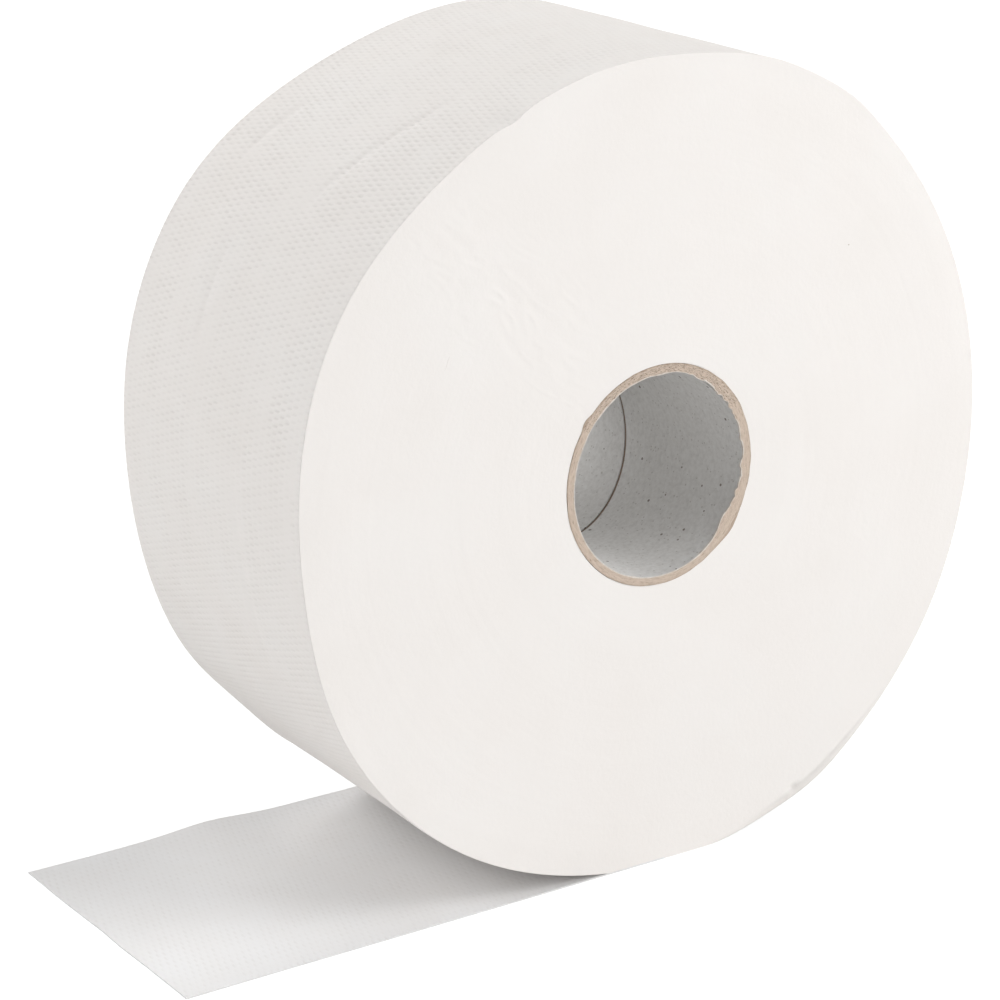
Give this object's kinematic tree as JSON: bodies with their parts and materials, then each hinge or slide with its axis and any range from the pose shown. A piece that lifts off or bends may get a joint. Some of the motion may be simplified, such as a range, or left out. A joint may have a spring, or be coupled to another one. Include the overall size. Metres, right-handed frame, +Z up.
{
  "type": "toilet paper roll",
  "caption": "Jumbo toilet paper roll standing on its rim, soft and slightly out of round, with a board core, a helical liner seam and a loose tail flat on the floor",
  "frame": {"origin": "on the floor, straight below the core's axis and halfway along the roll, on its flat spot", "axes": "+Z up; +Y along the core's axis, away from the end face that the picture shows; -X towards the loose end of the web"},
  "size_m": [0.2759, 0.1, 0.2404],
  "materials": {
    "tissue": "matte",
    "core_board": "matte",
    "core_liner": "matte"
  },
  "bodies": {
    "root": {"tissue_web": "tissue", "core_board": "core_board", "core_liner": "core_liner"}
  },
  "joints": []
}
